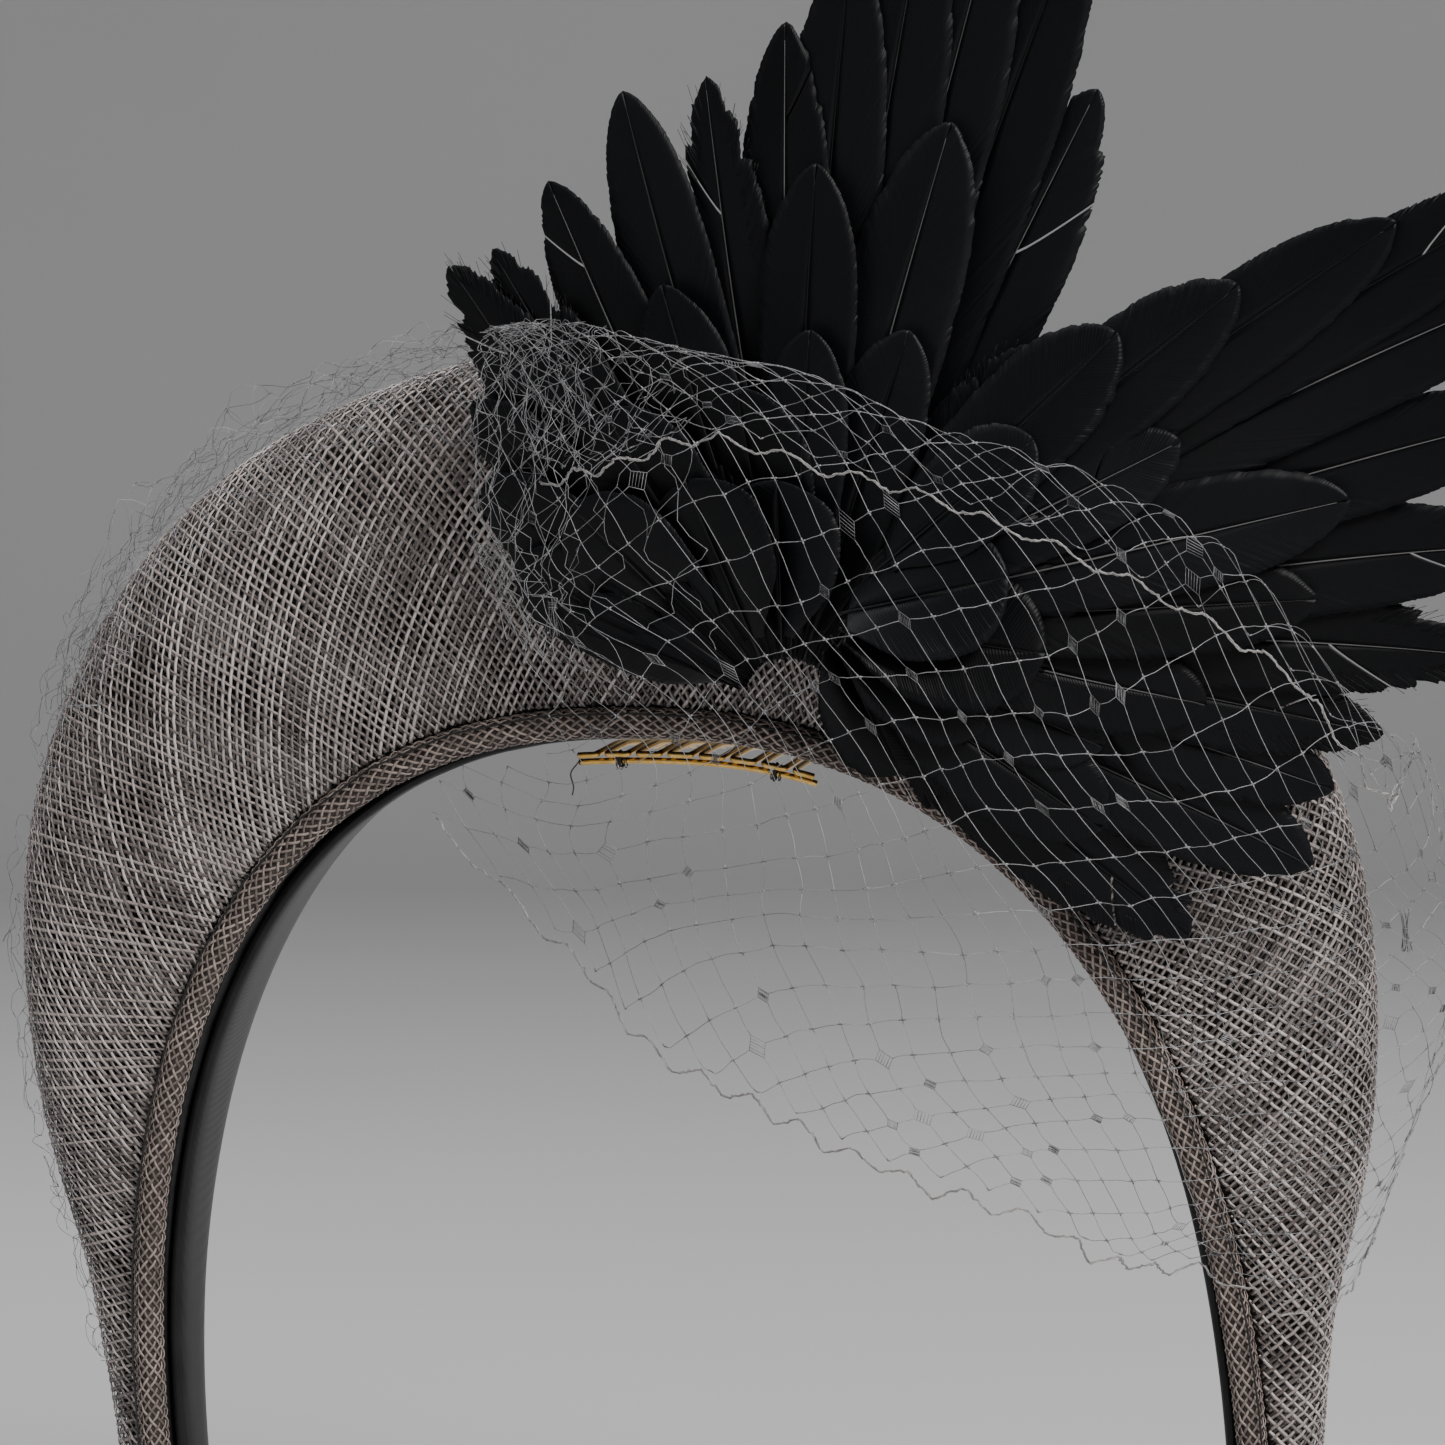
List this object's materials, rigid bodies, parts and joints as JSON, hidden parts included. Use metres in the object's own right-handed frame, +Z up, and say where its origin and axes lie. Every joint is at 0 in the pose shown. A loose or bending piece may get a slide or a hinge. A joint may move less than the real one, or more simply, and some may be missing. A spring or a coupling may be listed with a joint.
{
  "type": "fascinator headpiece",
  "caption": "Padded sinamay halo headband on a satin Alice band, with a wire hair comb, black feather wings and a spotted netting veil over the brow.",
  "frame": {"origin": "midway between the two arm ends of the band, which is where the wearer's head comes through between them", "axes": "+X to the wearer's left, +Y to the back of the head, +Z up from the arm ends to the crown as worn; the band leans forward by 13.5 degrees about +X"},
  "size_m": [0.2413, 0.098, 0.2491],
  "materials": {
    "sinamay": "open plain weave of glossy banana fibre, two layers on the bias",
    "binding": "rolled bias sinamay",
    "satin": "black satin ribbon",
    "padding": "dark foam wadding",
    "lining": "black lining cloth",
    "plastic": "moulded",
    "steel": "drawn wire",
    "gold": "bright gold-coloured wire",
    "thread": "black sewing thread",
    "feather": "dyed black goose feather with a faint satin sheen",
    "felt": "black felt",
    "net": "grey nylon veiling"
  },
  "bodies": {
    "headpiece": {"back_binding": "binding", "back_edge_wire": "steel", "back_stitching": "thread", "band_core": "plastic", "band_cover": "satin", "base_lining": "lining", "comb_stitch_left": "thread", "comb_stitch_right": "thread", "crown_padding": "padding", "end_cap_left": "satin", "end_cap_right": "satin", "front_binding": "binding", "front_edge_wire": "steel", "front_stitching": "thread", "side_long_01": "feather", "side_long_02": "feather", "side_long_03": "feather", "side_long_04": "feather", "side_long_05": "feather", "side_long_06": "feather", "side_long_07": "feather", "side_long_08": "feather", "side_long_09": "feather", "side_middle_01": "feather", "side_middle_02": "feather", "side_middle_03": "feather", "side_middle_04": "feather", "side_middle_05": "feather", "side_short_01": "feather", "side_short_02": "feather", "side_wing_pad": "felt", "sinamay_cover": "sinamay", "sinamay_underlay": "sinamay", "upper_long_01": "feather", "upper_long_02": "feather", "upper_long_03": "feather", "upper_long_04": "feather", "upper_long_05": "feather", "upper_long_06": "feather", "upper_long_07": "feather", "upper_long_08": "feather", "upper_long_09": "feather", "upper_long_10": "feather", "upper_long_11": "feather", "upper_long_12": "feather", "upper_middle_01": "feather", "upper_middle_02": "feather", "upper_middle_03": "feather", "upper_short_01": "feather", "upper_short_02": "feather", "upper_short_03": "feather", "upper_wing_pad": "felt", "veil_gather_left": "thread", "veil_gather_right": "thread", "veil_net": "net", "veil_selvedge_lower": "net", "veil_selvedge_upper": "net", "veil_tail": "net"},
    "comb": {"comb_teeth": "gold", "comb_spine": "gold"}
  },
  "joints": [
    {"name": "comb_hinge", "type": "hinge", "parent": "headpiece", "child": "comb", "pos_m": [0.00712, -0.02565, 0.12483], "axis": [-0.9978, -0.0155, 0.0645], "range_deg": [0, 20]}
  ]
}
